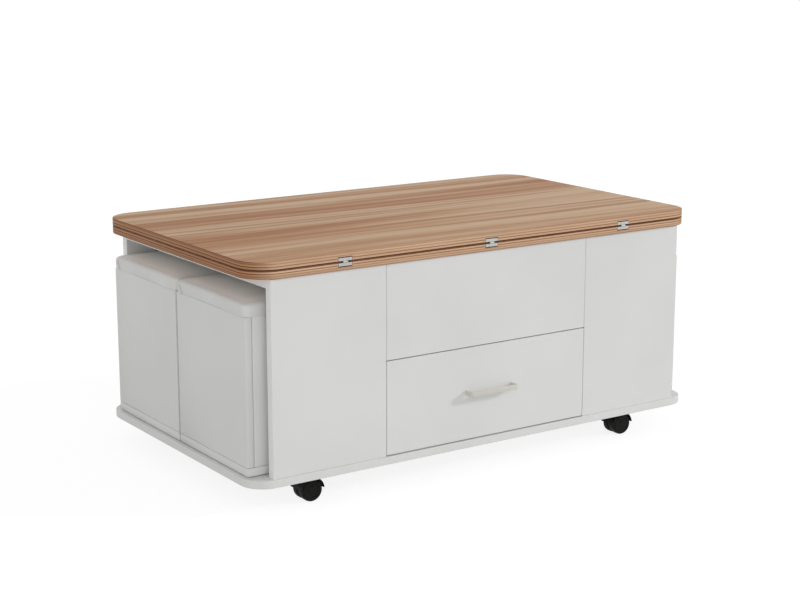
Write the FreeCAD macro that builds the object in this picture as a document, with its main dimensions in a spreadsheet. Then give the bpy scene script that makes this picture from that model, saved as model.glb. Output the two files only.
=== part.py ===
import FreeCAD, Part
import math
import os
import re
import Sketcher

# Convertible coffee and dining table: a white cabinet on casters with a drawer and four
# pull-out stools, and a two-leaf top that swings up on arms and folds open to the front.
# Millimetres, +X along the length, -Y to the drawer side, +Z up, origin on the floor
# below the middle of the top.

doc = FreeCAD.newDocument("convertible_table")
sheet = doc.addObject("Spreadsheet::Sheet", "dims")

sizes = {
    # two leaves of the top
    "leaf_setback": 5, "top_depth": 700, "top_corner": 65, "leaf_thickness": 17,
    "leaf_gap": 1.2, "leaf_round": 1.2,
    # base board and cabinet
    "base_length": 1200, "base_corner": 55, "base_thickness": 17, "base_round": 1,
    "end_overhang": 50, "front_overhang": 5, "cabinet_height": 420,
    "panel_thickness": 20, "divider_thickness": 16, "bay_top_thickness": 21,
    "floor_thickness": 16, "centre_width": 543, "front_gap": 2, "board_round": 0.8,
    "bumper_height": 1, "bumper_radius": 8, "bumper_inset": 40,
    # drawer
    "drawer_top_room": 58, "drawer_back_room": 200,
    "drawer_wall": 12, "drawer_bottom_thickness": 6, "drawer_lift": 18,
    "slide_room": 12.7, "slide_clearance": 0.3, "slide_height": 35, "slide_short": 10,
    "handle_length": 128, "handle_reach": 25, "handle_height": 11, "handle_thickness": 4, "handle_rise": 3,
    "handle_bend": 7, "handle_screw_radius": 1.2, "handle_screw_length": 14, "handle_screw_bite": 5,
    # stools
    "stool_proud": 39, "stool_back_gap": 8.5, "stool_side_gap": 19, "stool_gap": 8,
    "stool_head_room": 23, "stool_panel": 16, "stool_bottom": 18, "seat_board_thickness": 12,
    "seat_board_play": 0.3, "glide_thickness": 2, "glide_width": 24, "glide_inset": 56,
    "cushion_side": 30, "cushion_crown": 7, "cushion_bulge": 3.5, "cushion_corner": 16,
    "cushion_draw": 1.5, "cushion_tuck": 1, "cushion_shoulder": 9, "cushion_crown_half": 50,
    # swing-up arms
    "shaft_setback": 60, "shaft_drop": 77, "pivot_pitch": 120, "pivot_rise": 24,
    "arm_share": 0.39, "arm_rest_angle": 6.7, "arm_width": 22, "arm_thickness": 6,
    "lift_plate_thickness": 4, "lift_plate_margin": 22, "lift_clearance": 2,
    "shaft_radius": 6, "pin_radius": 5, "run_clearance": 0.05, "open_pivot_clearance": 0.3,
    "pin_end": 1, "tube_radius": 8, "tube_setback": 41,
    "carrier_thickness": 4, "carrier_flange": 30, "carrier_flange_thickness": 3,
    "ear_half_width": 14, "carrier_overrun": 30,
    "screw_head_radius": 4, "screw_head_height": 1.6, "screw_radius": 1.8, "screw_length": 12,
    "screw_edge": 7,
    "spring_wire": 3, "spring_turns": 7, "spring_pitch": 3.8, "spring_play": 0.35,
    # fold hinges
    "hinge_end_distance": 219, "hinge_width": 33, "hinge_plate_height": 6.5, "hinge_plate_gap": 4.4,
    "hinge_inset": 2, "hinge_proud": 0.2, "fold_offset": 0.4, "knuckle_radius": 2,
    "knuckle_width": 11, "knuckle_middle": 4, "knuckle_play": 0.2, "fold_pin_radius": 0.9,
    # casters
    "caster_height": 60, "caster_end": 169, "caster_side": 55, "caster_trail": 9,
    "wheel_radius": 25, "wheel_width": 17, "web_thickness": 9, "web_inset": 2.5, "wheel_play": 0.5,
    "hood_gap": 1.4, "hood_wall": 2.4, "hood_start": 3, "axle_radius": 3, "stem_radius": 5.5,
    "head_radius": 10, "caster_plate": 46, "caster_plate_thickness": 3, "swivel_play": 0.4,
    "caster_screw_inset": 7,
}

for row, (alias, number) in enumerate(sizes.items(), 1):
    sheet.set(f"A{row}", alias)
    sheet.set(f"B{row}", str(number))
    sheet.setAlias(f"B{row}", alias)
doc.recompute()

nodes = []
sides = (("left", -1), ("right", 1))
ends = (("front", -1), ("rear", 1))
turned = {
    "x": FreeCAD.Rotation(FreeCAD.Vector(0, 1, 0), 90),
    "y": FreeCAD.Rotation(FreeCAD.Vector(1, 0, 0), -90),
    "z": FreeCAD.Rotation(),
}


def size(alias):
    return float(sheet.get(alias))


def spell(text):
    return re.sub(r"[a-z_]+", lambda word: f"dims.{word[0]}" if word[0] in sizes else word[0], text)


def bind(item, prop, text):
    item.setExpression(prop, spell(text))


def place(item, low):
    for axis, text in zip("xyz", low):
        bind(item, f"Placement.Base.{axis}", text)


def node(item, label):
    item.Label = label
    nodes.append(item)
    return item


def add(kind, name):
    return doc.addObject(f"Part::{kind}", name)


def box(name, low, extent):
    solid = add("Box", name)
    for prop, text in zip(("Length", "Width", "Height"), extent):
        bind(solid, prop, text)
    place(solid, low)
    return solid


def cylinder(name, axis, low, radius, length):
    # low is the centre of the end with the smallest coordinate along the axis
    solid = add("Cylinder", name)
    solid.Placement = FreeCAD.Placement(FreeCAD.Vector(), turned[axis])
    bind(solid, "Radius", radius)
    bind(solid, "Height", length)
    place(solid, low)
    return solid


def fuse(name, shapes):
    joined = add("MultiFuse", name)
    joined.Shapes = shapes
    return joined


def cut(name, base, tools):
    rest = add("Cut", name)
    rest.Base = base
    rest.Tool = tools[0] if len(tools) == 1 else fuse(f"{name}_tools", tools)
    return rest


def group(name, solids):
    compound = add("Compound", name)
    compound.Links = solids
    return compound


def board(name, low, extent):
    # a board with all twelve edges eased
    eased = add("Fillet", name)
    eased.Base = box(f"{name}_blank", low, extent)
    doc.recompute()
    eased.Edges = [(edge, size("board_round"), size("board_round")) for edge in range(1, 13)]
    return eased


def reach(sign, inner, outer):
    # lowest X and length of a piece that goes from inner to outer on one side
    low = f"({inner})" if sign > 0 else f"-({outer})"
    return low, f"({outer}) - ({inner})"


def signed(sign, text):
    return f"({text})" if sign > 0 else f"-({text})"


def sketch_in(body):
    sketch = body.newObject("Sketcher::SketchObject", f"{body.Name}_sketch")
    sketch.AttachmentSupport = [(next(f for f in body.Origin.OriginFeatures if f.Role == "XY_Plane"), "")]
    sketch.MapMode = "FlatFace"
    return sketch


def pad_of(body, sketch, length):
    pad = body.newObject("PartDesign::Pad", f"{body.Name}_pad")
    pad.Profile = sketch
    bind(pad, "Length", length)
    doc.recompute()
    return pad


def fillet_of(body, base, radius, chosen):
    eased = body.newObject("PartDesign::Fillet", f"{base.Name}_round")
    names = [f"Edge{number}" for number, edge in enumerate(base.Shape.Edges, 1) if chosen(edge)]
    eased.Base = (base, names)
    bind(eased, "Radius", radius)
    doc.recompute()
    return eased


def polygon(body, corners, thickness):
    # a prism whose corners are each held by their two distances from the body's origin
    sketch = sketch_in(body)
    count = len(corners)
    spots = []
    for index in range(count):
        turn = 2 * math.pi * index / count
        spots.append(FreeCAD.Vector(2 - math.cos(turn), 2 - math.sin(turn), 0))
    for index in range(count):
        sketch.addGeometry(Part.LineSegment(spots[index], spots[(index + 1) % count]), False)
    for index in range(count):
        sketch.addConstraint(Sketcher.Constraint("Coincident", index, 2, (index + 1) % count, 1))
    for index, corner in enumerate(corners):
        for kind, text, axis in (("DistanceX", corner[0], -2), ("DistanceY", corner[1], -1)):
            if text == "0":
                sketch.addConstraint(Sketcher.Constraint("PointOnObject", index, 1, axis))
            else:
                rule = sketch.addConstraint(Sketcher.Constraint(kind, -1, 1, index, 1, 1.0))
                bind(sketch, f"Constraints[{rule}]", text)
    return pad_of(body, sketch, thickness)


def upright(edge):
    ends_of = edge.Vertexes
    return len(ends_of) == 2 and abs(ends_of[0].Z - ends_of[1].Z) > 1e-6


def level_at(height):
    return lambda edge: all(abs(vertex.Z - height) < 1e-6 for vertex in edge.Vertexes)


def rounded_slab(name, length, depth, corner, thickness, edge_round, rounded_faces, low_z):
    body = doc.addObject("PartDesign::Body", name)
    outline = [("0", "0"), (length, "0"), (length, depth), ("0", depth)]
    last = polygon(body, outline, thickness)
    last = fillet_of(body, last, corner, upright)
    heights = {"bottom": 0.0, "top": size(thickness)}
    for face in rounded_faces:
        last = fillet_of(body, last, edge_round, level_at(heights[face]))
    place(body, (f"-{length}/2", f"-{depth}/2", low_z))
    return body


# levels and planes that several pieces share
base_top = "(caster_height + base_thickness)"
cabinet_top = "(caster_height + base_thickness + cabinet_height)"
leaf_low = f"({cabinet_top} + bumper_height)"
upper_low = f"({leaf_low} + leaf_thickness + leaf_gap)"
fold_z = f"({leaf_low} + leaf_thickness + leaf_gap/2)"
fold_y = "(-top_depth/2 - fold_offset)"
leaf_length = "(base_length - 2*leaf_setback)"
cabinet_length = "(base_length - 2*end_overhang)"
cabinet_depth = "(top_depth - 2*front_overhang)"
front = f"(-{cabinet_depth}/2)"
inner_front = f"({front} + panel_thickness)"
inner_depth = f"({cabinet_depth} - 2*panel_thickness)"
divider_in = "(centre_width/2 - divider_thickness/2)"
divider_out = "(centre_width/2 + divider_thickness/2)"
centre_front_width = "(centre_width - front_gap)"
drawer_low = f"({base_top} + front_gap)"
drawer_front_height = "((cabinet_height - 2*front_gap)/2)"
upper_front_low = f"({drawer_low} + {drawer_front_height} + front_gap)"
drawer_side_height = f"({drawer_front_height} - drawer_top_room)"
drawer_depth = f"({inner_depth} - drawer_back_room)"
drawer_half = f"({divider_in} - slide_room)"
box_low = f"({drawer_low} + drawer_lift)"
slide_member = "((slide_room - slide_clearance)/2)"
seat_room = "(bay_top_thickness + stool_head_room + cushion_crown + cushion_side)"
stool_low = f"({base_top} + glide_thickness)"
stool_box_height = f"(cabinet_height - glide_thickness - {seat_room})"
stool_top = f"({stool_low} + {stool_box_height})"
stool_outer = f"({cabinet_length}/2 + stool_proud)"
stool_inner = f"({divider_out} + stool_back_gap)"
stool_length = f"({stool_outer} - {stool_inner})"
stool_width = f"(({inner_depth} - stool_gap)/2 - stool_side_gap)"
plate_in = f"({divider_in} - lift_plate_thickness)"
arm_out = f"({plate_in} - lift_clearance)"
arm_in = f"({arm_out} - arm_thickness)"
ear_out = f"({arm_in} - lift_clearance)"
ear_in = f"({ear_out} - carrier_thickness)"
shaft_z = f"({cabinet_top} - shaft_drop)"
arm_length = "(top_depth*arm_share)"
arm_run = f"({arm_length}*cos(arm_rest_angle*1deg))"
arm_climb = f"({arm_length}*sin(arm_rest_angle*1deg))"
tube_place = f"({arm_length} - tube_setback)"
carrier_y = f"(shaft_setback - {arm_run})"
carrier_z = f"({shaft_z} + {arm_climb})"


def make_cabinet():
    slab = ("base_length", "top_depth", "base_corner", "base_thickness", "base_round")
    node(rounded_slab("base_board", *slab, ("bottom", "top"), "caster_height"), "base_board")
    for side, sign in sides:
        low, length = reach(sign, "centre_width/2 + front_gap/2", f"{cabinet_length}/2")
        name = f"front_panel_{side}"
        node(board(name, (low, front, base_top), (length, "panel_thickness", "cabinet_height")), name)
        low, length = reach(sign, divider_in, divider_out)
        name = f"divider_{side}"
        node(box(name, (low, inner_front, base_top), (length, inner_depth, "cabinet_height")), name)
        low, length = reach(sign, divider_out, f"{cabinet_length}/2")
        name = f"bay_top_{side}"
        bay_low = f"{cabinet_top} - bay_top_thickness"
        node(board(name, (low, inner_front, bay_low), (length, inner_depth, "bay_top_thickness")), name)
    upper_height = f"{cabinet_top} - {upper_front_low}"
    low = (f"-{centre_front_width}/2", front, upper_front_low)
    upper = board("front_panel_upper", low, (centre_front_width, "panel_thickness", upper_height))
    node(upper, "front_panel_upper")
    low = (f"-{cabinet_length}/2", f"{cabinet_depth}/2 - panel_thickness", base_top)
    node(board("back_panel", low, (cabinet_length, "panel_thickness", "cabinet_height")), "back_panel")
    floor_extent = (f"2*{divider_in}", inner_depth, "floor_thickness")
    floor_low = (f"-{divider_in}", inner_front, upper_front_low)
    node(box("compartment_floor", floor_low, floor_extent), "compartment_floor")

    bumpers = []
    glides = []
    for side, sign in sides:
        for end, along in ends:
            centre = (
                signed(sign, f"{cabinet_length}/2 - bumper_inset"),
                signed(along, f"{inner_depth}/2 - bumper_inset"),
                cabinet_top,
            )
            bumpers.append(cylinder(f"bumper_{end}_{side}", "z", centre, "bumper_radius", "bumper_height"))
            for place_name, inner in (("near", "glide_inset"), ("far", f"{stool_width} - glide_inset")):
                low, length = reach(sign, stool_inner, f"{cabinet_length}/2")
                middle = signed(along, f"stool_gap/2 + {inner}")
                spot = (low, f"{middle} - glide_width/2", base_top)
                extent = (length, "glide_width", "glide_thickness")
                glides.append(box(f"glide_{end}_{side}_{place_name}", spot, extent))
    node(group("top_bumpers", bumpers), "top_bumpers")
    node(group("glide_strips", glides), "glide_strips")


def make_drawer():
    extent = (centre_front_width, "panel_thickness", drawer_front_height)
    node(board("drawer_front", (f"-{centre_front_width}/2", front, drawer_low), extent), "drawer_front")
    walls = []
    rails = []
    slides = []
    slide_low = f"{box_low} + {drawer_side_height}/2 - slide_height/2"
    for side, sign in sides:
        low, length = reach(sign, f"{drawer_half} - drawer_wall", drawer_half)
        extent = (length, drawer_depth, drawer_side_height)
        walls.append(box(f"drawer_side_{side}", (low, inner_front, box_low), extent))
        low, length = reach(sign, f"{divider_in} - {slide_member}", divider_in)
        extent = (length, f"{drawer_depth} - slide_short", "slide_height")
        rails.append(box(f"drawer_rail_{side}", (low, inner_front, slide_low), extent))
        low, length = reach(sign, drawer_half, f"{drawer_half} + {slide_member}")
        slides.append(box(f"drawer_slide_{side}", (low, inner_front, slide_low), extent))
    node(group("drawer_sides", walls), "drawer_sides")
    node(group("drawer_rails", rails), "drawer_rails")
    node(group("drawer_slides", slides), "drawer_slides")
    inside = f"2*({drawer_half} - drawer_wall)"
    left = f"-({drawer_half} - drawer_wall)"
    back_y = f"{inner_front} + {drawer_depth} - drawer_wall"
    extent = (inside, "drawer_wall", drawer_side_height)
    node(box("drawer_back", (left, back_y, box_low), extent), "drawer_back")
    extent = (inside, f"{drawer_depth} - drawer_wall", "drawer_bottom_thickness")
    node(box("drawer_bottom", (left, inner_front, box_low), extent), "drawer_bottom")

    handle = doc.addObject("PartDesign::Body", "drawer_handle")
    bow = [
        ("0", "0"), ("handle_length", "0"), ("handle_length", "handle_reach"),
        ("handle_length - handle_thickness", "handle_reach"),
        ("handle_length - handle_thickness", "handle_thickness"), ("handle_thickness", "handle_thickness"),
        ("handle_thickness", "handle_reach"), ("0", "handle_reach"),
    ]
    strip = polygon(handle, bow, "handle_height")

    def corner_at(depth):
        return lambda edge: upright(edge) and abs(edge.Vertexes[0].Y - depth) < 1e-6

    strip = fillet_of(handle, strip, "handle_bend", corner_at(0.0))
    fillet_of(handle, strip, "handle_bend - handle_thickness", corner_at(size("handle_thickness")))
    middle = f"({drawer_low} + {drawer_front_height}/2 + handle_rise)"
    place(handle, ("-handle_length/2", f"{front} - handle_reach", f"{middle} - handle_height/2"))
    node(handle, "drawer_handle")
    screws = []
    for side, sign in sides:
        spot = (
            signed(sign, "handle_length/2 - handle_thickness/2"),
            f"{front} - handle_screw_bite",
            middle,
        )
        screw = cylinder(f"handle_screw_{side}", "y", spot, "handle_screw_radius", "handle_screw_length")
        screws.append(screw)
    node(group("handle_screws", screws), "handle_screws")


def cushion_outline(half_x, half_y, corner, draw, height):
    # four corner arcs joined by four sides that are drawn in a little at their middles
    point = FreeCAD.Vector
    lean = corner * (1 - math.sqrt(0.5))
    edges = []
    turns = ((1, 1), (-1, 1), (-1, -1), (1, -1))
    for index, (sx, sy) in enumerate(turns):
        on_end = point(sx * half_x, sy * (half_y - corner), height)
        on_side = point(sx * (half_x - corner), sy * half_y, height)
        first, last = (on_end, on_side) if sx * sy > 0 else (on_side, on_end)
        tip = point(sx * (half_x - lean), sy * (half_y - lean), height)
        edges.append(Part.Arc(first, tip, last).toShape())
        nx, ny = turns[(index + 1) % 4]
        if sy == ny:
            goal = point(nx * (half_x - corner), ny * half_y, height)
            waist = point(0, sy * (half_y - draw), height)
        else:
            goal = point(nx * half_x, ny * (half_y - corner), height)
            waist = point(sx * (half_x - draw), 0, height)
        edges.append(Part.Arc(last, waist, goal).toShape())
    return Part.Wire(edges)


def cushion_shape(length, width):
    side = size("cushion_side")
    bulge = size("cushion_bulge")
    crown = size("cushion_crown")
    shoulder = size("cushion_shoulder")
    corner = size("cushion_corner")
    draw = size("cushion_draw")
    half_x = length / 2
    half_y = width / 2
    crown_run = min(half_x, half_y) - size("cushion_crown_half") - shoulder
    # height of each outline, how far it stands out from the box, and how far its sides draw in
    rings = [(0, -size("cushion_tuck"), draw), (side * 0.15, bulge * 0.7, draw), (side * 0.4, bulge, draw)]
    for quarter in (0.25, 0.5, 0.75, 1):
        turn = quarter * math.pi / 2
        rings.append((side - shoulder * (1 - math.sin(turn)), bulge - shoulder * (1 - math.cos(turn)), draw))
    for share in (0.2, 0.45, 0.7, 1):
        rise = crown * (1 - (1 - share) ** 2)
        rings.append((side + rise, bulge - shoulder - share * crown_run, draw))
    wires = [cushion_outline(half_x + out, half_y + out, corner, waist, z) for z, out, waist in rings]
    return Part.makeLoft(wires, True, True)


def make_stools():
    inside_x = f"{stool_length} - 2*stool_panel"
    inside_y = f"{stool_width} - 2*stool_panel"
    panel_low = f"{stool_low} + stool_bottom"
    panel_height = f"{stool_box_height} - stool_bottom"
    for side, sign in sides:
        for end, along in ends:
            name = f"stool_{end}_{side}"
            low_x, length = reach(sign, stool_inner, stool_outer)
            low_y = "stool_gap/2" if along > 0 else f"-(stool_gap/2 + {stool_width})"
            extent = (length, stool_width, "stool_bottom")
            boards = [board(f"{name}_bottom", (low_x, low_y, stool_low), extent)]
            for part, shift in (("a", "0"), ("b", f"{stool_length} - stool_panel")):
                spot = (f"{low_x} + {shift}", low_y, panel_low)
                boards.append(board(f"{name}_end_{part}", spot, ("stool_panel", stool_width, panel_height)))
            for part, shift in (("a", "0"), ("b", f"{stool_width} - stool_panel")):
                spot = (f"{low_x} + stool_panel", f"{low_y} + {shift}", panel_low)
                boards.append(board(f"{name}_wall_{part}", spot, (inside_x, "stool_panel", panel_height)))
            node(group(f"{name}_box", boards), f"{name}_box")
            spot = (
                f"{low_x} + stool_panel + seat_board_play",
                f"{low_y} + stool_panel + seat_board_play",
                f"{stool_top} - seat_board_thickness",
            )
            extent = (
                f"{inside_x} - 2*seat_board_play",
                f"{inside_y} - 2*seat_board_play",
                "seat_board_thickness",
            )
            node(box(f"{name}_seat_board", spot, extent), f"{name}_seat_board")
            cushion = add("Feature", f"{name}_cushion")
            seat = boards[0].Base
            cushion.Shape = cushion_shape(seat.Length.Value, seat.Width.Value)
            middle_x = f"{low_x} + {stool_length}/2"
            place(cushion, (middle_x, f"{low_y} + {stool_width}/2", stool_top))
            node(cushion, f"{name}_cushion")


def arm_body(name, far_clearance, near_radius):
    # a flat bar with round ends and a bore at each end, along its body's X axis
    body = doc.addObject("PartDesign::Body", name)
    sketch = sketch_in(body)
    half = size("arm_width") / 2
    length = size("top_depth") * size("arm_share")
    point = FreeCAD.Vector
    up = point(0, 0, 1)
    near = Part.Circle(point(0, 0, 0), up, half)
    far = Part.Circle(point(length, 0, 0), up, half)
    sketch.addGeometry(Part.ArcOfCircle(near, math.pi / 2, 3 * math.pi / 2), False)
    sketch.addGeometry(Part.ArcOfCircle(far, -math.pi / 2, math.pi / 2), False)
    sketch.addGeometry(Part.LineSegment(point(0, -half, 0), point(length, -half, 0)), False)
    sketch.addGeometry(Part.LineSegment(point(length, half, 0), point(0, half, 0)), False)
    sketch.addGeometry(Part.Circle(point(0, 0, 0), up, half / 2), False)
    sketch.addGeometry(Part.Circle(point(length, 0, 0), up, half / 2), False)
    for rule in (
        ("Coincident", 0, 3, -1, 1), ("PointOnObject", 1, 3, -1), ("Equal", 0, 1),
        ("Tangent", 0, 2, 2, 1), ("Tangent", 2, 2, 1, 1), ("Tangent", 1, 2, 3, 1), ("Tangent", 3, 2, 0, 1),
        ("Coincident", 4, 3, 0, 3), ("Coincident", 5, 3, 1, 3),
    ):
        sketch.addConstraint(Sketcher.Constraint(*rule))
    for rule, text in (
        (("Radius", 0, half), "arm_width/2"),
        (("DistanceX", 0, 3, 1, 3, length), arm_length),
        (("Radius", 4, half / 2), f"{near_radius} + run_clearance"),
        (("Radius", 5, half / 2), f"pin_radius + {far_clearance}"),
    ):
        number = sketch.addConstraint(Sketcher.Constraint(*rule))
        bind(sketch, f"Constraints[{number}]", text)
    pad_of(body, sketch, "arm_thickness")
    # local X lies along the arm towards the front, local Z along the table's length
    lean = math.radians(size("arm_rest_angle"))
    along = point(0, -math.cos(lean), math.sin(lean))
    across = point(1, 0, 0)
    body.Placement = FreeCAD.Placement(point(), FreeCAD.Rotation(along, point(), across, "ZXY"))
    return body


def spring_path(turns, pitch, radius, wire):
    # a helix about X in half turns of two arcs each, with a straight end of one wire diameter
    point = FreeCAD.Vector

    def spot(turn):
        angle = 2 * math.pi * turn
        return point(pitch * turn, radius * math.cos(angle), radius * math.sin(angle))

    def heading(turn):
        angle = 2 * math.pi * turn
        run = 2 * math.pi * radius
        return point(pitch, -run * math.sin(angle), run * math.cos(angle)).normalize()

    def arc(first, bend, last):
        chord = (first + last) * 0.5
        cosine = (first - chord).Length / (first - bend).Length
        return Part.Arc(first, chord + (bend - chord) * (cosine / (1 + cosine)), last).toShape()

    edges = [Part.LineSegment(spot(0) - heading(0) * wire, spot(0)).toShape()]
    steps = int(round(turns * 2))
    for step in range(steps):
        first, last = spot(step / 2), spot(step / 2 + 0.5)
        lead, trail = heading(step / 2), heading(step / 2 + 0.5)
        gap = last - first
        total = lead + trail
        spread = 2 * (1 - lead.dot(trail))
        dot = gap.dot(total)
        reach_out = (math.sqrt(dot * dot + spread * gap.dot(gap)) - dot) / spread
        joint = (first + last + (lead - trail) * reach_out) * 0.5
        edges.append(arc(first, first + lead * reach_out, joint))
        edges.append(arc(joint, last - trail * reach_out, last))
    edges.append(Part.LineSegment(spot(steps / 2), spot(steps / 2) + heading(steps / 2) * wire).toShape())
    return Part.Wire(edges)


def spring_self_gap(path, wire):
    # least distance between the surfaces of two stretches of wire that are not neighbours
    dots = path.discretize(Number=60 * int(size("spring_turns")))
    step = path.Length / (len(dots) - 1)
    apart = int(3 * wire / step) + 1
    least = min(
        (dots[first] - dots[second]).Length
        for first in range(len(dots)) for second in range(first + apart, len(dots))
    )
    return least - wire


def make_lift():
    pivots = (("shaft_setback", shaft_z), ("shaft_setback + pivot_pitch", f"{shaft_z} + pivot_rise"))
    plates = []
    rear_pins = []
    screws = []
    arms = {"front": [], "rear": []}
    springs = []
    for side, sign in sides:
        low, length = reach(sign, plate_in, divider_in)
        spot = (low, "shaft_setback - lift_plate_margin", f"{shaft_z} - lift_plate_margin")
        extent = (length, "pivot_pitch + 2*lift_plate_margin", "pivot_rise + 2*lift_plate_margin")
        bores = []
        for (y, z), radius in zip(pivots, ("shaft_radius", "pin_radius")):
            bores.append(cylinder(f"lift_bore_{side}_{radius}", "x", (low, y, z), radius, length))
        plates.append(cut(f"lift_plate_{side}", box(f"lift_plate_{side}_blank", spot, extent), bores))

        low, length = reach(sign, f"{arm_in} - pin_end", divider_in)
        rear_pins.append(cylinder(f"lift_rear_pin_{side}", "x", (low, *pivots[1]), "pin_radius", length))

        for number, share in enumerate(("0", "1/2", "1")):
            screw_run = "(pivot_pitch + 2*lift_plate_margin - 2*screw_edge)"
            y = f"shaft_setback - lift_plate_margin + screw_edge + {share}*{screw_run}"
            z = f"{shaft_z} - lift_plate_margin + screw_edge"
            head_low, head_length = reach(sign, f"{plate_in} - screw_head_height", plate_in)
            shank_low, shank_length = reach(sign, plate_in, f"{plate_in} + screw_length")
            name = f"lift_screw_{side}_{number}"
            head = cylinder(f"{name}_head", "x", (head_low, y, z), "screw_head_radius", head_length)
            shank = cylinder(f"{name}_shank", "x", (shank_low, y, z), "screw_radius", shank_length)
            screws.append(fuse(name, [head, shank]))

        low, _ = reach(sign, arm_in, arm_out)
        for end, (y, z), bore, play in (
            ("front", pivots[0], "shaft_radius", "run_clearance"),
            ("rear", pivots[1], "pin_radius", "open_pivot_clearance"),
        ):
            arm = arm_body(f"lift_arm_{end}_{side}", play, bore)
            place(arm, (low, y, z))
            arms[end].append(arm)

        wire = size("spring_wire")
        coil = size("shaft_radius") + size("spring_play") + wire / 2
        path = spring_path(size("spring_turns"), size("spring_pitch"), coil, wire)
        start = path.Vertexes[0].Point
        ring = Part.Circle(start, path.Edges[0].tangentAt(path.Edges[0].FirstParameter), wire / 2)
        spring = add("Feature", f"lift_spring_{side}")
        spring.Shape = path.makePipeShell([Part.Wire([ring.toShape()])], True, False)
        if side == "left":
            print("lift spring least self-gap", round(spring_self_gap(path, wire), 3), "mm")
        coil_length = "spring_turns*spring_pitch"
        low, _ = reach(sign, f"{ear_in} - {coil_length}", ear_in)
        place(spring, (low, *pivots[0]))
        springs.append(spring)
    node(group("lift_plates", plates), "lift_plates")
    shaft = cylinder("lift_shaft", "x", (f"-{divider_in}", *pivots[0]), "shaft_radius", f"2*{divider_in}")
    node(shaft, "lift_shaft")
    node(group("lift_rear_pins", rear_pins), "lift_rear_pins")
    node(group("lift_screws", screws), "lift_screws")
    node(group("lift_springs", springs), "lift_springs")
    for end in arms:
        node(group(f"lift_arms_{end}", arms[end]), f"lift_arms_{end}")
    tube_y = f"shaft_setback - {tube_place}*cos(arm_rest_angle*1deg)"
    tube_z = f"{shaft_z} + {tube_place}*sin(arm_rest_angle*1deg)"
    tube = cylinder("lift_cross_tube", "x", (f"-{arm_in}", tube_y, tube_z), "tube_radius", f"2*{arm_in}")
    node(tube, "lift_cross_tube")


def make_carriers():
    pivots = ((carrier_y, carrier_z), (f"{carrier_y} + pivot_pitch", f"{carrier_z} + pivot_rise"))
    carriers = []
    pins = []
    screws = []
    flange_low = f"{leaf_low} - carrier_flange_thickness"
    flange_y = f"{carrier_y} - carrier_overrun"
    flange_run = "pivot_pitch + 2*carrier_overrun"
    for side, sign in sides:
        low, length = reach(sign, f"{ear_out} - carrier_flange", ear_out)
        extent = (length, flange_run, "carrier_flange_thickness")
        pieces = [box(f"carrier_flange_{side}", (low, flange_y, flange_low), extent)]
        bores = []
        low, length = reach(sign, ear_in, ear_out)
        pin_low, pin_length = reach(sign, ear_in, f"{arm_out} + pin_end")
        for number, (y, z) in enumerate(pivots):
            name = f"carrier_{side}_{number}"
            extent = (length, "2*ear_half_width", f"{flange_low} - ({z})")
            pieces.append(box(f"{name}_ear", (low, f"{y} - ear_half_width", z), extent))
            pieces.append(cylinder(f"{name}_boss", "x", (low, y, z), "ear_half_width", length))
            bores.append(cylinder(f"{name}_bore", "x", (low, y, z), "pin_radius", length))
            pins.append(cylinder(f"{name}_pin", "x", (pin_low, y, z), "pin_radius", pin_length))
        carriers.append(cut(f"carrier_{side}", fuse(f"carrier_{side}_blank", pieces), bores))
        for number, share in enumerate(("0", "1/2", "1")):
            x = signed(sign, f"{ear_in} - carrier_flange/2")
            y = f"{flange_y} + screw_edge + {share}*({flange_run} - 2*screw_edge)"
            name = f"carrier_screw_{side}_{number}"
            head_spot = (x, y, f"{flange_low} - screw_head_height")
            head = cylinder(f"{name}_head", "z", head_spot, "screw_head_radius", "screw_head_height")
            shank = cylinder(f"{name}_shank", "z", (x, y, flange_low), "screw_radius", "screw_length")
            screws.append(fuse(name, [head, shank]))
    node(group("lift_carriers", carriers), "lift_carriers")
    node(group("carrier_pins", pins), "carrier_pins")
    node(group("carrier_screws", screws), "carrier_screws")


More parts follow.
